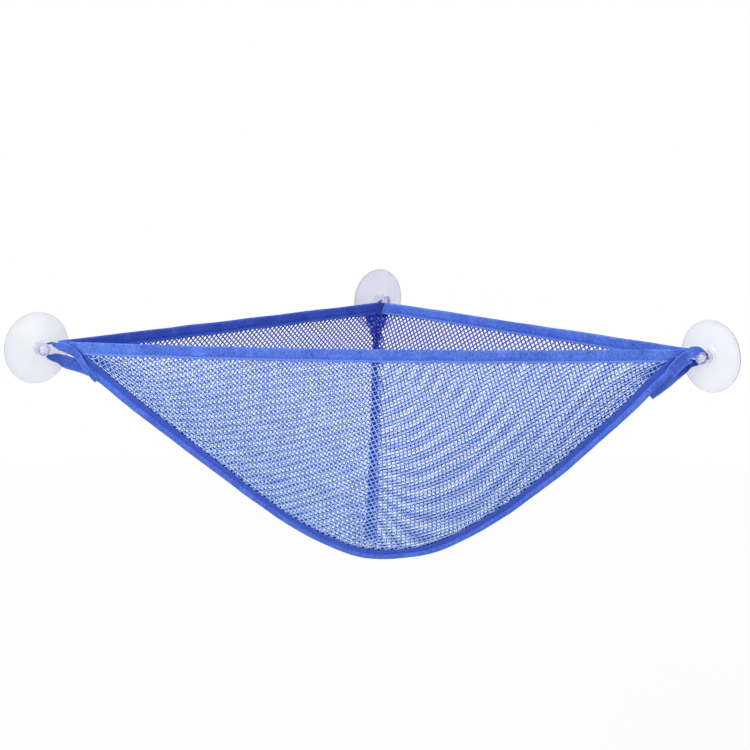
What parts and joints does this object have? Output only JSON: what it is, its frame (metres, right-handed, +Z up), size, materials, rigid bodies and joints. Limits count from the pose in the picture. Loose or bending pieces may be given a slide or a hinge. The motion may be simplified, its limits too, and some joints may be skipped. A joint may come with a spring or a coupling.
{
  "type": "bath toy organizer",
  "caption": "Triangular net bag for a bathroom corner, its edges bound with tape, with a clear suction cup looped to every corner, for holding and draining bath toys.",
  "frame": {"origin": "on the line where the two walls meet, at the height of the side cups' centres", "axes": "+X to the right along the open front, +Y back into the corner, +Z up; the walls run at 45 degrees to X and Y"},
  "size_m": [0.5488, 0.2816, 0.2055],
  "materials": {
    "polyester_mesh": "open square mesh",
    "polyester_tape": "plain woven tape",
    "sewing_thread": "matte thread",
    "clear_vinyl": "clear"
  },
  "bodies": {
    "bag": {"front_rim_binding": "polyester_tape", "left_rim_binding": "polyester_tape", "right_rim_binding": "polyester_tape", "bottom_seam_binding": "polyester_tape", "front_net": "polyester_mesh", "left_net": "polyester_mesh", "right_net": "polyester_mesh", "corner_seam": "polyester_mesh", "corner_seam_stitching": "sewing_thread", "front_rim_stitching": "sewing_thread", "left_rim_stitching": "sewing_thread", "right_rim_stitching": "sewing_thread", "bottom_seam_stitching": "sewing_thread", "left_loop_tack": "sewing_thread", "right_loop_tack": "sewing_thread", "back_loop_left_tack": "sewing_thread", "back_loop_right_tack": "sewing_thread"},
    "left_loop": {"left_loop": "polyester_tape"},
    "right_loop": {"right_loop": "polyester_tape"},
    "back_loop": {"back_loop": "polyester_tape"},
    "left_cup": {"left_cup": "clear_vinyl"},
    "right_cup": {"right_cup": "clear_vinyl"},
    "back_cup": {"back_cup": "clear_vinyl"}
  },
  "joints": [
    {"name": "left_loop_fold", "type": "hinge", "parent": "bag", "child": "left_loop", "pos_m": [-0.24803, -0.2602, 0], "axis": [0, 0, 1], "range_deg": [-20, 80], "deforming": ["left_loop"]},
    {"name": "right_loop_fold", "type": "hinge", "parent": "bag", "child": "right_loop", "pos_m": [0.23277, -0.24493, 0], "axis": [0, 0, 1], "range_deg": [-80, 20], "deforming": ["right_loop"]},
    {"name": "back_loop_fold", "type": "hinge", "parent": "bag", "child": "back_loop", "pos_m": [-0.01443, -0.03859, 0], "axis": [0, 0, 1], "range_deg": [-80, 20], "deforming": ["back_loop"]},
    {"name": "left_cup_swivel", "type": "hinge", "parent": "left_loop", "child": "left_cup", "pos_m": [-0.25652, -0.26868, 0], "axis": [0.7071, -0.7071, 0], "continuous": true},
    {"name": "right_cup_swivel", "type": "hinge", "parent": "right_loop", "child": "right_cup", "pos_m": [0.24126, -0.25342, 0], "axis": [-0.7071, -0.7071, 0], "continuous": true},
    {"name": "back_cup_swivel", "type": "hinge", "parent": "back_loop", "child": "back_cup", "pos_m": [-0.01443, -0.02659, 0.0043], "axis": [0.7071, -0.7071, 0], "continuous": true}
  ]
}
